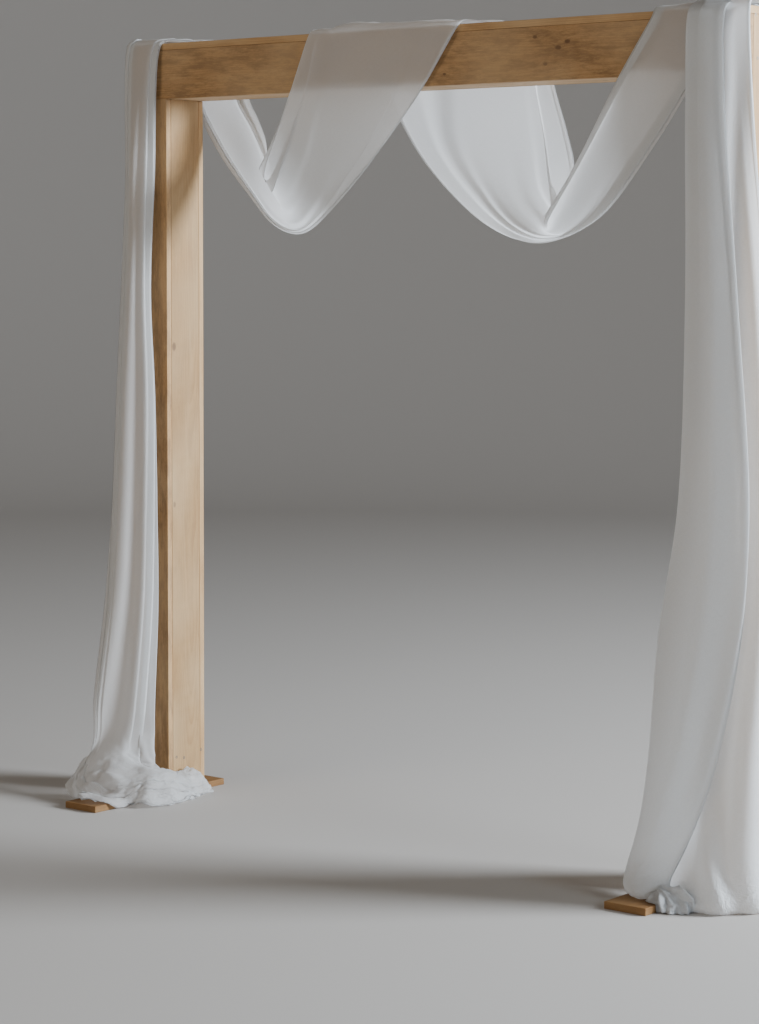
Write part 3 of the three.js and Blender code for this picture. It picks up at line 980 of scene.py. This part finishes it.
def add_right_curtain(material):
    lines, station = even_rows(right_curtain_lines())
    across, depth = pleated(
        RIGHT_COLUMNS, RIGHT_PLEATS, RIGHT_RIDGES, RIGHT_TUCKS, RIGHT_TUCKED, station)
    grid, normal = surface(lines, across, depth)
    held_height = 0.16
    rows = foot_rows(grid, held_height)
    bunch = ((0.885, POST_Y - 0.30, 0.03), 0.10)
    part, loose = loosened(grid[:rows], normal[:rows], held_height, 0.012, bunch)
    grid[:rows] = calmed(part, loose, passes=3)
    grid = kept_above(grid, "right")
    piece = cloth_object("drape_right_curtain", hemmed(rumpled(grid)), material)
    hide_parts("drape_curtain_right_front", "drape_curtain_right_side")
    return piece


# The front layer's end, bunched into a soft pouch over the edge of the foot board
POUCH_RINGS = 52
POUCH_SIDES = 150
POUCH_MIDDLE = np.array((0.954, POST_Y - 0.280, 0.008))
POUCH_RADII = np.array((0.060, 0.052, 0.040))
POUCH_ENDS = (0.03, 2.85)  # radians from the pouch's pole
POUCH_LEAN = math.radians(38)
LEAN_AXIS = Vector((0.63, -0.78, 0))
FOLD_TWIST = 0.5  # how far the folds turn about the pouch on their way down
FOLD_DRIFT = 0.22  # how fast they change on their way down
FOLD_DEPTH = 0.72


def pouch_folds(tilt, turn):
    """How far each point of the pouch stands out in a fold."""
    folds = np.zeros((len(tilt), turn.shape[1]))
    for ring, column in np.ndindex(folds.shape):
        around = turn[0, column] + FOLD_TWIST * tilt[ring, 0]
        at = Vector((math.cos(around), math.sin(around), FOLD_DRIFT * tilt[ring, 0]))
        folds[ring, column] = abs(noise.noise(at * 2.6)) + 0.5 * abs(noise.noise(at * 5.2))
    return folds


def add_gathered_end(material):
    tilt = np.linspace(*POUCH_ENDS, POUCH_RINGS)[:, None]
    turn = np.linspace(0, 2 * math.pi, POUCH_SIDES + 1)[None, :]
    ball = np.stack([
        np.sin(tilt) * np.cos(turn), np.sin(tilt) * np.sin(turn), np.cos(tilt) + 0 * turn
    ], -1)
    ball = ball @ np.array(Matrix.Rotation(POUCH_LEAN, 3, LEAN_AXIS)).T
    folds = pouch_folds(tilt, turn)
    spread = 1 + FOLD_DEPTH * np.sin(tilt) ** 0.6 * (folds - 0.30)
    grid = ball * POUCH_RADII * spread[..., None] + POUCH_MIDDLE
    grid = crumpled(grid, ball, np.full(folds.shape, 0.007), scale=0.35, drift=0.0)
    grid = calmed(grid, np.ones(folds.shape), passes=4)
    grid[:, -1] = grid[:, 0]
    piece = cloth_object("drape_right_gather", kept_above(grid, "right"), material)
    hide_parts("drape_puddle_right")
    return piece


# Screws that hold the planks together
SCREW_RADIUS = 0.0040
SCREW_SIDES = 18
# A head's share of its radius and height over the plank, from its rim to its recess
SCREW_PROFILE = ((1.0, -0.0003), (0.95, 0.0004), (0.55, 0.0004), (0.42, -0.0002), (0.0, -0.0002))


def screw_steel():
    g = Graph("screw_steel")
    place = g.add("TexCoord").outputs["Object"]
    stains = g.noise(place, 420.0, 3.0, 0.6)
    colour = g.mix(stains, rgb(0.10, 0.09, 0.08), rgb(0.30, 0.27, 0.23))
    g.link(colour, g.shader.inputs["Base Color"])
    g.link(g.between(stains, 0.3, 0.7, 0.35, 0.6), g.shader.inputs["Roughness"])
    g.shader.inputs["Metallic"].default_value = 0.85
    return g.material


def screw_places():
    """Each screw's place and the direction that it faces."""
    # Y from the posts' middle, and height
    low_row = ((-0.042, 0.103), (0.059, 0.110), (-0.011, 0.097))
    high_rows = ((-0.048, TOP - 0.020), (0.050, TOP - 0.020), (-0.036, TOP - 0.119))
    places = []
    for side, way in (("left", -1), ("right", 1)):
        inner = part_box(f"post_{side}_inner_board")[0 if way > 0 else 1].x
        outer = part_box(f"post_{side}_outer_board")[1 if way > 0 else 0].x
        for y, z in low_row:
            places.append(((inner, POST_Y + y, z), (-way, 0, 0)))
        for y, z in high_rows + low_row:
            places.append(((outer, POST_Y + y, z), (way, 0, 0)))
    return places


def add_screws():
    points, faces = [], []
    for place, facing in screw_places():
        turned = Vector(facing).to_track_quat("Z", "Y").to_matrix()
        faces += bands(len(SCREW_PROFILE), SCREW_SIDES, first=len(points))
        for share, out in SCREW_PROFILE:
            for side in range(SCREW_SIDES):
                angle = 2 * math.pi * side / SCREW_SIDES
                spoke = Vector((math.cos(angle) * share, math.sin(angle) * share, 0))
                points.append(Vector(place) + turned @ (spoke * SCREW_RADIUS + Vector((0, 0, out))))
    mesh = bpy.data.meshes.new("screws")
    mesh.from_pydata(points, [], faces)
    shape = bmesh.new()
    shape.from_mesh(mesh)
    bmesh.ops.remove_doubles(shape, verts=shape.verts, dist=1e-6)
    shape.to_mesh(mesh)
    shape.free()
    mesh.materials.append(screw_steel())
    piece = add_object("screws", mesh)
    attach(piece, "root")


add_camera()
add_studio()
add_floor()
add_planks()
thin = muslin("muslin_thin", cover=0.84, tint=(1.0, 1.0, 1.0), sheer=0.46)
# the faint blue of this tint is painted cool light, for the daylight on the right curtain
dense = muslin("muslin_dense", cover=1.0, tint=(0.985, 0.995, 1.005), sheer=0.46)
# a paler, cooler copy of the muslin for the gathered end: its tint and its smaller sheer share are
# painted light, for the window light that falls on the pouch
painted_light_muslin = muslin("muslin_painted_light", cover=1.0, tint=(1.0, 1.005, 1.015), sheer=0.3)
obstacles = add_obstacles()
long_cloth = add_long_cloth(thin)
gathered_end = add_gathered_end(painted_light_muslin)
right_curtain = add_right_curtain(dense)
add_screws()
for thing in obstacles:
    bpy.data.objects.remove(thing)
